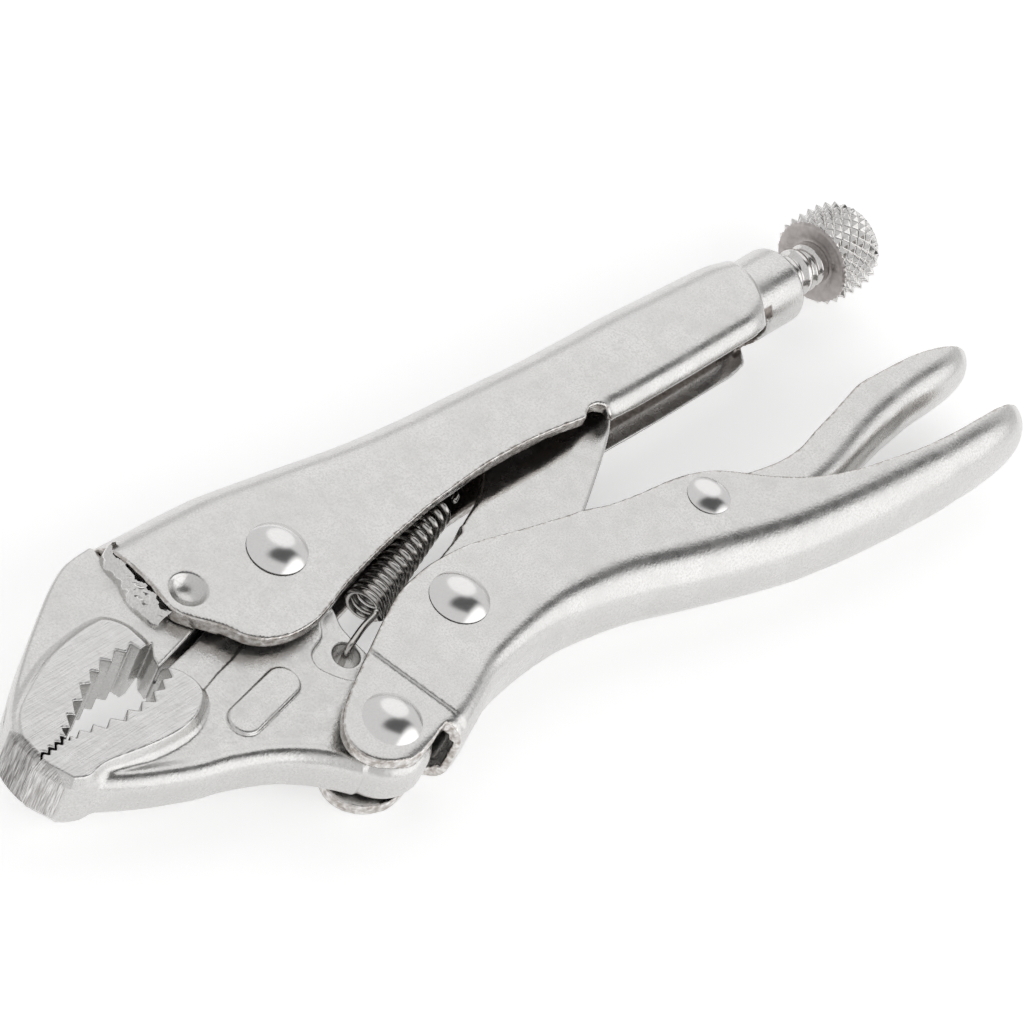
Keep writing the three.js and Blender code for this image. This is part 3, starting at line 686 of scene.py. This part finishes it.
def ringed_piece(name, rows):
    """A skin over rows of points, each a closed ring, with a fan at both ends."""
    rows = np.asarray(rows, float)
    count, n = rows.shape[:2]
    faces = []
    for i in range(count - 1):
        for j in range(n):
            k = (j + 1) % n
            faces.append((i * n + j, i * n + k, (i + 1) * n + k, (i + 1) * n + j))
    first_hub = count * n
    last_hub = first_hub + 1
    last_ring = (count - 1) * n
    for j in range(n):
        k = (j + 1) % n
        faces.append((first_hub, k, j))
        faces.append((last_hub, last_ring + j, last_ring + k))
    points = np.concatenate([rows.reshape(-1, 3), [rows[0].mean(0)], [rows[-1].mean(0)]])
    data = bpy.data.meshes.new(name)
    data.from_pydata(to_frame(points).tolist(), [], faces)
    data.update()
    return smooth_piece(data)


def rivet(name, centre, radius, shank, seat, rise):
    """A shank with a shallow spherical head at each end, on a short upright rim."""
    rim = 0.16
    height = rise - rim
    sphere = (radius**2 + height**2) / (2 * height)
    upper = []
    dome_rings = 20
    for k in range(dome_rings):
        r = max(radius * math.sin(math.pi / 2 * k / (dome_rings - 1)), 0.01)
        upper.append((r, seat + rim + math.sqrt(sphere**2 - r**2) - (sphere - height)))
    upper += [(radius + 0.05, seat + rim - 0.1), (radius + 0.03, seat + 0.12), (radius - 0.1, seat)]
    upper.append((shank, seat))
    full = upper + [(r, -h) for r, h in reversed(upper)]
    sides = 72
    turn = 2 * np.pi * np.arange(sides) / sides
    rows = []
    for r, h in full:
        x = centre[0] + r * np.cos(turn)
        y = centre[1] - r * np.sin(turn)
        rows.append(np.stack([x, y, np.full(sides, h)], 1))
    return ringed_piece(name, rows)


def clamp(value):
    return min(1, max(0, value))


def screw():
    """The threaded shaft: a rounded helical ridge turned along X, with a collar under the knob."""
    pitch, crest, depth = 2.5, 3.8, 0.75
    start, end = 71.8, 127.0
    runout = 119.6  # where the thread ends
    collar = 0.55  # how far the collar stands above the plain shaft
    tip_radius, tip_slope = 2.6, 1.2
    sides, rings_per_turn = 48, 16
    rows = []
    n = int((end - start) / pitch * rings_per_turn)
    for i in range(n + 1):
        x = start + (end - start) * i / n
        fade = clamp((x - start - 0.6) / 1.5) * clamp((runout - x) / 0.8)
        ring = []
        for j in range(sides):
            a = 2 * math.pi * j / sides
            phase = ((x - start) / pitch - j / sides) % 1.0
            height = min(1.0, 1.25 * (0.5 + 0.5 * math.cos(2 * math.pi * phase)))
            r = crest - depth * (1 - height * fade)
            r += collar * clamp((x - runout - 0.3) / 0.3)
            r = min(r, tip_radius + (x - start) * tip_slope)
            ring.append((x, SCREW_Y - r * math.cos(a), r * math.sin(a)))
        rows.append(ring)
    return ringed_piece("screw_thread", rows)


def knurl_height(u, v, cells, turns):
    """Diamond knurl of sharp pyramids between two crossing sets of grooves; u runs round, v along."""
    slopes = [np.abs(2 * ((u * cells + sign * v * turns) % 1.0) - 1) for sign in (1, -1)]
    return np.minimum(*slopes)


def knob():
    """The adjusting knob: a dished inner face, a plain bevel, diamond knurl and a rounded outer end.

    Its outline is rows of (distance from the inner face, radius).
    """
    length = 10.2
    knurl_cells, knurl_length, knurl_turns, knurl_depth = 22, 8.5, 4.1, 0.78
    sides = 21 * knurl_cells
    face = [(0.0, 3.3), (0.45, 3.4), (0.45, 4.5), (0.0, 4.9), (0.0, 6.35), (0.12, 6.6), (0.45, 6.95)]
    body_x = np.linspace(0.55, 9.75, 92)
    body_r = np.interp(body_x, [0.55, 1.2, 6.6, 7.8, 8.8, 9.75], [7.15, 7.65, 7.7, 7.55, 7.1, 6.2])
    end = [(9.95, 5.8), (10.1, 5.3), (length, 4.7), (length, 0.05)]
    angles = np.arange(sides) / sides
    turn = 2 * np.pi * angles
    rows = []
    for d, outer_r in face + list(zip(body_x, body_r)) + end:
        fade = np.clip((d - 0.3) / 0.5, 0, 1) * np.clip((9.9 - d) / 0.8, 0, 1)
        height = knurl_height(angles, d / knurl_length, knurl_cells, knurl_turns)
        r = outer_r - knurl_depth * fade * (1 - np.clip(height * 1.06, 0, 1))
        x = np.full(sides, KNOB_FACE + d)
        rows.append(np.stack([x, SCREW_Y - r * np.cos(turn), r * np.sin(turn)], 1))
    return ringed_piece("knob_knurled", rows)


def tube(name, path, radius):
    """A round wire along a path of points."""
    sides = 14
    angles = np.linspace(0, 2 * math.pi, sides, endpoint=False)
    path = np.asarray(path, float)
    tangents = np.gradient(path, axis=0)
    tangents /= np.linalg.norm(tangents, axis=1)[:, None]
    normal = np.cross(tangents[0], [0.3, 0.2, 1.0])
    normal /= np.linalg.norm(normal)
    rows = []
    for p, t in zip(path, tangents):
        normal = normal - t * normal.dot(t)
        normal /= np.linalg.norm(normal)
        side = np.cross(t, normal)
        rows.append([p + radius * (math.cos(a) * normal + math.sin(a) * side) for a in angles])
    return ringed_piece(name, rows)


def spring():
    """A close-wound tension coil with a straight leg hooked in the lower jaw and a hook in the channel."""
    low_end = np.array([9.1, -11.6, 0.0])
    high_end = np.array([31.5, -4.45, 0.0])
    length = np.linalg.norm(high_end - low_end)
    axis = (high_end - low_end) / length
    side = np.array([-axis[1], axis[0], 0.0])
    up = np.array([0.0, 0.0, 1.0])
    wire_radius = 0.52
    low_radius, high_radius, turns, per_turn = 2.85, 2.05, 14.6, 26
    steady, growing = 0.82, 0.18  # the turns lie closer at the low end
    coil = []
    for i in range(int(turns * per_turn) + 1):
        s = i / (turns * per_turn)
        a = 2 * math.pi * turns * s - 0.5 * math.pi
        run = length * (steady * s + growing * s * s)
        radius = low_radius + (high_radius - low_radius) * s
        coil.append(low_end + axis * run + radius * (math.sin(a) * side + math.cos(a) * up))
    first, last = coil[0], coil[-1]
    hole = np.array([*SPRING_HOLE, 0.0])
    corner = np.array([8.6, -14.0, 2.2])
    leg = [hole + (0.5, 0.3, -1.2), hole + (0.2, 0.25, 1.2), hole + (0.1, 0.2, 3.0), hole + (0.7, 0.5, 3.95),
           hole + (1.9, 0.95, 4.0), hole + (5.4, 2.2, 3.4), corner + (-0.8, -0.3, 0.1), corner]
    hook_steps = [(2.0, 0.6), (3.6, 0.9), (4.6, 0.1), (4.2, -1.0), (3.0, -1.2)]
    hook = [high_end + axis * along + side * across for along, across in hook_steps]
    path = spline([*leg, first], 8)[:-1] + coil + spline([last, last + axis * 0.8 - side * 0.3, *hook], 8)[1:]
    return tube("tension_coil", path, wire_radius)


# ---------------------------------------------------------------- materials


def node(tree, kind, **values):
    """A shader node with its inputs, or else its own settings, at those values."""
    made = tree.nodes.new(kind)
    for key, value in values.items():
        if key in made.inputs:
            made.inputs[key].default_value = value
        else:
            setattr(made, key, value)
    return made


def noise(tree, coords, scale, detail):
    """Noise of that many cells per metre."""
    made = node(tree, "ShaderNodeTexNoise", Scale=scale, Detail=detail, Roughness=0.5)
    tree.links.new(coords, made.inputs["Vector"])
    return made.outputs["Fac"]


def ramp(tree, source, low_at, high_at, low_value, high_value):
    """Maps low_at..high_at to low_value..high_value, and clamps."""
    made = node(tree, "ShaderNodeMapRange")
    made.inputs["From Min"].default_value = low_at
    made.inputs["From Max"].default_value = high_at
    made.inputs["To Min"].default_value = low_value
    made.inputs["To Max"].default_value = high_value
    tree.links.new(source, made.inputs["Value"])
    return made.outputs["Result"]


def mix_colour(tree, factor, a, b):
    made = tree.nodes.new("ShaderNodeMix")
    made.data_type = "RGBA"
    tree.links.new(factor, made.inputs["Factor"])
    for socket, value in ((made.inputs["A"], a), (made.inputs["B"], b)):
        if isinstance(value, tuple):
            socket.default_value = (*value, 1)
        else:
            tree.links.new(value, socket)
    return made.outputs["Result"]


def stretched(tree, coords, scale, angle):
    mapping = node(tree, "ShaderNodeMapping")
    mapping.inputs["Scale"].default_value = scale
    mapping.inputs["Rotation"].default_value = (0, 0, angle)
    tree.links.new(coords, mapping.inputs["Vector"])
    return mapping.outputs["Vector"]


def maths(tree, operation, a, b):
    made = node(tree, "ShaderNodeMath", operation=operation)
    for socket, value in zip(made.inputs, (a, b)):
        if isinstance(value, (int, float)):
            socket.default_value = value
        else:
            tree.links.new(value, socket)
    return made.outputs[0]


def add_bump(tree, height, distance, normal):
    """A bump of that many millimetres, on top of an earlier one."""
    bump = node(tree, "ShaderNodeBump", Strength=1.0, Distance=distance * MM)
    tree.links.new(height, bump.inputs["Height"])
    if normal is not None:
        tree.links.new(normal, bump.inputs["Normal"])
    return bump.outputs["Normal"]


def metal(name, colour, dark, rough, rough_spread, bumps, masks=()):
    """A plated metal: mottled colour, uneven roughness and bumps of (scale per metre, height in mm, detail).

    Each mask is (where, dark colour, light colour, grain, roughness, bump in mm): where it is 1, the surface
    is a cut or ground one, or carries painted shade (inside the handle, on the knob's face) or a painted dark
    reflection (on the upper jaw's tip), instead of the plated skin.
    """
    made = bpy.data.materials.new(name)
    made.use_nodes = True
    tree = made.node_tree
    shader = tree.nodes["Principled BSDF"]
    coords = node(tree, "ShaderNodeTexCoord").outputs["Object"]
    shader.inputs["Metallic"].default_value = 1.0
    cloud_scale, speck_scale, gloss_scale = 160, 3200, 420
    cloud = ramp(tree, noise(tree, coords, cloud_scale, 3), 0.3, 0.7, 0.4, 1)
    speck = ramp(tree, noise(tree, coords, speck_scale, 1), 0.3, 0.6, 0, 1)
    base = mix_colour(tree, maths(tree, "MULTIPLY", cloud, speck), dark, colour)
    uneven = noise(tree, coords, gloss_scale, 4)
    gloss = ramp(tree, uneven, 0.3, 0.7, rough - rough_spread, rough + rough_spread)
    normal = None
    for scale, height, detail in bumps:
        normal = add_bump(tree, noise(tree, coords, scale, detail), height, normal)
    for where, low, high, grain, mask_rough, height in masks:
        amount = where(tree, coords)
        pattern = ramp(tree, grain(tree, coords), 0.36, 0.64, 0, 1)
        base = mix_colour(tree, amount, base, mix_colour(tree, pattern, low, high))
        gloss = maths(tree, "ADD", gloss, maths(tree, "MULTIPLY", amount, mask_rough - rough))
        normal = add_bump(tree, maths(tree, "MULTIPLY", amount, pattern), height, normal)
    tree.links.new(base, shader.inputs["Base Color"])
    tree.links.new(gloss, shader.inputs["Roughness"])
    tree.links.new(normal, shader.inputs["Normal"])
    return made


def attribute_mask(label):
    """1 where the piece's point attribute of that name is 1."""
    return lambda tree, coords: node(tree, "ShaderNodeAttribute", attribute_name=label).outputs["Fac"]


def grain_noise(scale, detail, stretch=(1, 1, 1), turn=0.0):
    """Noise, stretched into brush lines where asked."""
    return lambda tree, coords: noise(tree, stretched(tree, coords, stretch, turn), scale, detail)


NICKEL = (0.70, 0.693, 0.682)
NICKEL_DARK = (0.60, 0.592, 0.58)
FLAT_LINES = grain_noise(900, 2, (0.25, 6, 1), -0.62)
TIP_LINES = grain_noise(900, 3, (1, 6, 0.35))
CUT_EDGE = (attribute_mask("cut"), (0.40, 0.36, 0.33), (0.78, 0.765, 0.75), grain_noise(1100, 4), 0.22, 0.04)
# painted shade: dark brown for the channel's inside and the slot's end, where shade falls
INSIDE_SHADE = (attribute_mask("inside"), (0.20, 0.175, 0.16), (0.32, 0.29, 0.27), grain_noise(1500, 3), 0.30, 0.02)
GROUND_FLAT = (attribute_mask("ground"), (0.62, 0.613, 0.605), (0.72, 0.714, 0.706), FLAT_LINES, 0.30, 0.012)
# painted reflection: the upper jaw's front face darkened to stand in for the dark surroundings it reflects
DARK_REFLECTION_TIP = (attribute_mask("dark_tip"), (0.16, 0.15, 0.145), (0.55, 0.54, 0.53), TIP_LINES, 0.26, 0.03)
GROUND_TIP = (attribute_mask("tip"), (0.34, 0.325, 0.315), (0.74, 0.73, 0.72), TIP_LINES, 0.26, 0.03)
# painted shade: the knob's inner face darkened to stand in for the shaded floor that it reflects
KNOB_FACE_SHADE = (attribute_mask("face"), (0.40, 0.37, 0.36), (0.48, 0.45, 0.44), grain_noise(900, 2), 0.36, 0.01)

pearl = metal(
    "pearl_nickel", NICKEL, NICKEL_DARK, 0.26, 0.05, [(2400, 0.022, 2), (700, 0.02, 2)], [CUT_EDGE, INSIDE_SHADE]
)
forged = metal(
    "forged_nickel", NICKEL, NICKEL_DARK, 0.28, 0.05, [(2200, 0.035, 3), (500, 0.05, 2)],
    [GROUND_FLAT, GROUND_TIP, DARK_REFLECTION_TIP],
)
weld = metal("weld_nickel", (0.82, 0.81, 0.80), (0.66, 0.645, 0.63), 0.16, 0.05, [(1300, 0.04, 2)])
polished = metal("polished_rivet", (0.80, 0.79, 0.785), (0.76, 0.75, 0.745), 0.18, 0.02, [(900, 0.004, 2)])
bright = metal(
    "screw_nickel", (0.74, 0.725, 0.715), (0.64, 0.625, 0.61), 0.14, 0.04, [(2400, 0.006, 2)], [KNOB_FACE_SHADE]
)
spring_steel = metal(
    "spring_steel", (0.60, 0.585, 0.57), (0.46, 0.445, 0.43), 0.19, 0.04, [(3000, 0.004, 2)]
)

# ---------------------------------------------------------------- masks and pieces


def place(piece, body, material, slot, *nodes):
    """Gives a piece its body and material, and hides the CAD nodes that it stands for; slot is not used."""
    piece.data.materials.append(material)
    if body is not None:
        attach(piece, body)
    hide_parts(*nodes)
    return piece


def cut_edge(outline):
    """The sheared edge of a sheet: the outer 0.3 mm or so of its side outline."""
    return lambda x, y, z: (polygon(x, y, outline) + 0.42) / 0.2


def ground_flat(x, y, z):
    """The ground sides of the jaws' heads."""
    return (np.abs(z) - head_half(x, z) + 0.10) / 0.08


def ground_tip(x, y, z):
    """The ground front faces of the jaws."""
    return (-50.6 - x - 0.05 * (y + 5)) / 0.2


def handle_inside_shade(x, y, z):
    """The channel's walls and the end of the slot, painted dark as shade inside the channel."""
    cavity = (0.35 - np.abs(handle_inner(x, y, z))) / 0.12 * (x > -18) * (y > -6.9)
    slot_end = (x > 99.5) * (x < 104.5) * (y < -5.4) * (y > -6.6) * (np.abs(z) < 5)
    return np.maximum(cavity, slot_end)


def knob_face_shade(x, y, z):
    """The knob's inner face, painted darker as shade."""
    return (KNOB_FACE + 0.5 - x) / 0.05


# the handle's inside carries the painted shade
piece = skin("handle_shell", handle_field, (-22, -13, -8), (113.2, 17, 8), DETAIL,
             cut=cut_edge(HANDLE_SIDE), inside=handle_inside_shade)
place(piece, "handle", pearl, "pearl_nickel", "fixed_handle")
# the upper jaw's front face carries the painted dark reflection
piece = skin("upper_jaw_forging", upper_jaw_field, (-53, -9.5, -7), (-5, 17, 6), FINE_DETAIL,
             ground=ground_flat, dark_tip=ground_tip)
place(piece, "handle", forged, "forged_nickel", "upper_jaw")
piece = skin("lower_jaw_forging", lower_jaw_field, (-53, -39, -7), (10, 10, 6), FINE_DETAIL,
             ground=ground_flat, tip=ground_tip)
place(piece, "jaw", forged, "forged_nickel", "lower_jaw")
piece = skin("weld_bead", weld_field, (-27, 0, -6.6), (-18.5, 15, 6.6), FINE_DETAIL)
place(piece, "handle", weld, "weld", "weld_bead_near", "weld_bead_far")
piece = skin("lever_shell", lever_field, (-14, -49, -8.6), (129, -12.5, 8.6), DETAIL,
             cut=cut_edge(LEVER_SIDE))
place(piece, "hand_lever", pearl, "pearl_nickel", "lever")
piece = skin("link_plate", link_field, (10, -28, -3.5), (70, 3, 3.5), DETAIL)
place(piece, "link", pearl, "pearl_nickel", "toggle_link")
piece = skin("release_shell", release_field, (55.5, -38.5, -6.8), (131, -21.5, 6.8), DETAIL,
             cut=cut_edge(RELEASE_SIDE))
place(piece, "release", pearl, "pearl_nickel", "release_lever")
# name, pivot, head radius, shank radius, height of the head's seat, rise of the head, body, CAD node
RIVETS = [
    ("jaw_rivet", JAW_PIVOT, 4.5, 2.6, 7.0, 1.86, "handle", "jaw_pivot_rivet"),
    ("lever_rivet", LEVER_PIVOT, 4.5, 2.6, 6.5, 1.9, "hand_lever", "lever_pivot_rivet"),
    ("link_rivet", LINK_PIVOT, 4.5, 2.6, 7.05, 1.82, "hand_lever", "link_pivot_rivet"),
    ("release_rivet_head", RELEASE_PIVOT, 3.37, 2.0, 7.2, 1.1, "hand_lever", "release_rivet"),
]
for *shape, body, cad_node in RIVETS:
    place(rivet(*shape), body, polished, "polished_rivet", cad_node)
place(screw(), "screw", bright, "screw_nickel", "adjusting_screw")
# the knob's inner face carries the painted shade
place(mark(knob(), face=knob_face_shade), "knob", bright, "screw_nickel", "knurled_knob")
coil = place(spring(), None, spring_steel, "spring_steel", "tension_spring")
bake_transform(coil)

# ---------------------------------------------------------------- floor, light, camera


TENT_LEVEL = 0.74
# direction, half width, half height, level
TENT_GAP = ((0.38, -0.26, 0.888), 0.34, 0.70, 0.64)
SOFT_LIGHTS = (
    ((0.70, 0.42, 0.58), 0.48, 0.56, 1.08),  # a broad key behind the tool
    ((0.30, -0.80, 0.42), 0.70, 0.50, 1.40),  # a bright strip in front
)


def floor_plane():
    """White paper under the tool, lifted a little by its own light."""
    half = 3.0  # metres
    corners = [(-half, -half, 0), (half, -half, 0), (half, half, 0), (-half, half, 0)]
    data = bpy.data.meshes.new("floor")
    data.from_pydata(corners, [], [(0, 1, 2, 3)])
    paper = bpy.data.materials.new("floor_white")
    paper.use_nodes = True
    shader = paper.node_tree.nodes["Principled BSDF"]
    shader.inputs["Base Color"].default_value = (0.8, 0.8, 0.8, 1)
    shader.inputs["Roughness"].default_value = 0.9
    shader.inputs["Emission Color"].default_value = (1, 1, 1, 1)
    shader.inputs["Emission Strength"].default_value = 0.46
    data.materials.append(paper)
    in_scene(data)


def lobe(tree, ray, centre, wide, tall, level):
    """A soft patch of light round a direction: its half sizes, across and up, are sines of angles."""
    aim = Vector(centre).normalized()
    side = aim.cross(Vector((0, 0, 1))).normalized()
    rise = side.cross(aim)
    parts = []
    for axis, size in ((side, wide), (rise, tall)):
        dot = node(tree, "ShaderNodeVectorMath", operation="DOT_PRODUCT")
        tree.links.new(ray, dot.inputs[0])
        dot.inputs[1].default_value = axis / size
        parts.append(maths(tree, "POWER", maths(tree, "ABSOLUTE", dot.outputs["Value"], 0), 2))
    radius = maths(tree, "SQRT", maths(tree, "ADD", *parts), 0)
    ahead = node(tree, "ShaderNodeVectorMath", operation="DOT_PRODUCT")
    tree.links.new(ray, ahead.inputs[0])
    ahead.inputs[1].default_value = aim
    patch = ramp(tree, radius, 1.1, 0.8, 0, level)
    return maths(tree, "MULTIPLY", patch, maths(tree, "GREATER_THAN", ahead.outputs["Value"], 0))


def studio_world():
    """A white tent: an even level, a dark gap overhead, and two soft lights."""
    world = bpy.data.worlds.new("studio")
    bpy.context.scene.world = world
    world.use_nodes = True
    tree = world.node_tree
    ray = node(tree, "ShaderNodeTexCoord").outputs["Generated"]
    level = maths(tree, "SUBTRACT", TENT_LEVEL, lobe(tree, ray, *TENT_GAP))
    for patch in SOFT_LIGHTS:
        level = maths(tree, "MAXIMUM", level, lobe(tree, ray, *patch))
    tree.links.new(level, tree.nodes["Background"].inputs["Color"])


floor_plane()
studio_world()
bpy.context.scene.view_settings.view_transform = "Standard"

# The camera that the rivets' circles and the barrel's axis in the photograph give.
camera_data = bpy.data.cameras.new("camera")
camera_data.sensor_width = 36  # mm
camera_data.lens = 147.66  # mm
camera_data.clip_start = 0.01  # metres
camera = bpy.data.objects.new("camera", camera_data)
bpy.context.scene.collection.objects.link(camera)
right = Vector((0.67379, -0.66882, 0.31414))
down = Vector((-0.4087, -0.6915, -0.59564))
forward = Vector((0.6156, 0.27295, -0.73928))
spot = (Vector((-337.77, -178.92, 455.11)) + ORIGIN) * MM
camera.matrix_world = Matrix(
    (
        (right.x, -down.x, -forward.x, spot.x),
        (right.y, -down.y, -forward.y, spot.y),
        (right.z, -down.z, -forward.z, spot.z),
        (0, 0, 0, 1),
    )
)
bpy.context.scene.camera = camera

bpy.context.view_layer.update()
